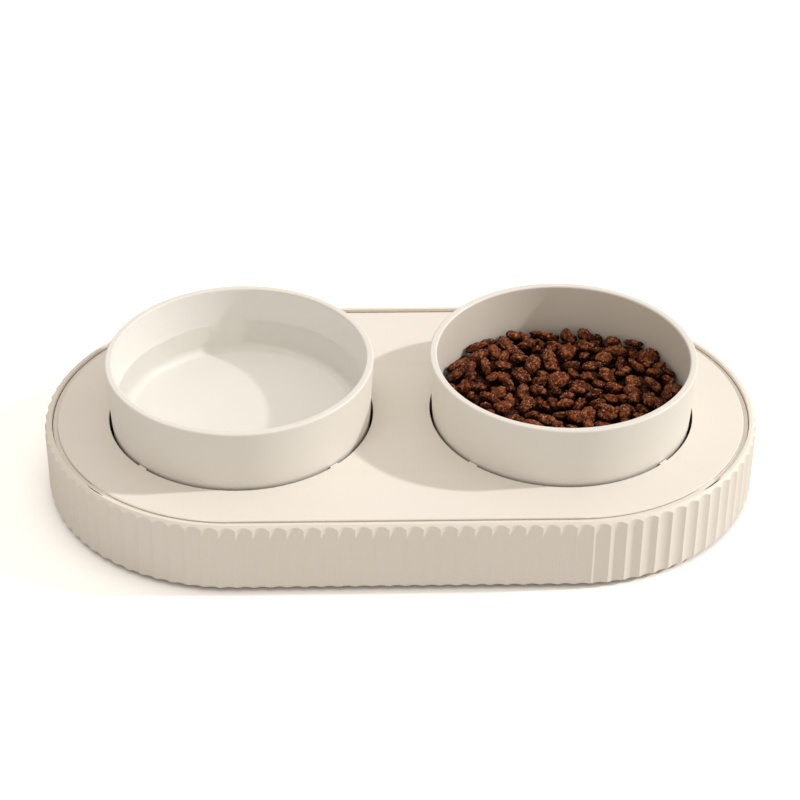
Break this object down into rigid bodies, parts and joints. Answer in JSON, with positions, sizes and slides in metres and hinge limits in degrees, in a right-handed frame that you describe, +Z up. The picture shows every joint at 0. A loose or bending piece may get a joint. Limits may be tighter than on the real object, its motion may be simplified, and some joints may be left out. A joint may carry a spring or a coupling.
{
  "type": "double pet bowl",
  "caption": "Low pet feeder: fluted oval base with an inset lift-out deck and round lift-out bowls side by side, holding water and dry food.",
  "frame": {"origin": "on the floor, under the middle of the base", "axes": "+X along the base, towards the food bowl; +Y to the back; +Z up"},
  "size_m": [0.4, 0.216, 0.08],
  "materials": {
    "base_plastic": "warm cream, fine matte",
    "deck_plastic": "warm cream, fine matte",
    "cover_plastic": "warm cream, as moulded",
    "bowl_plastic": "off-white, satin",
    "screw_steel": "zinc-plated",
    "foot_rubber": "grey, non-slip",
    "water": "clear, still",
    "kibble": "dry, rough, red-brown"
  },
  "bodies": {
    "base": {"base_shell": "base_plastic", "bottom_cover": "cover_plastic", "cover_screws": "screw_steel", "feet": "foot_rubber"},
    "deck": {"deck_panel": "deck_plastic"},
    "left_bowl": {"water_bowl": "bowl_plastic", "water": "water"},
    "right_bowl": {"food_bowl": "bowl_plastic", "kibble": "kibble"}
  },
  "joints": [
    {"name": "deck_lift", "type": "slide", "parent": "base", "child": "deck", "axis": [0, 0, 1], "range_m": [0, 0.05]},
    {"name": "water_bowl_lift", "type": "slide", "parent": "deck", "child": "left_bowl", "axis": [0, 0, 1], "range_m": [0, 0.07]},
    {"name": "food_bowl_lift", "type": "slide", "parent": "deck", "child": "right_bowl", "axis": [0, 0, 1], "range_m": [0, 0.07]}
  ]
}
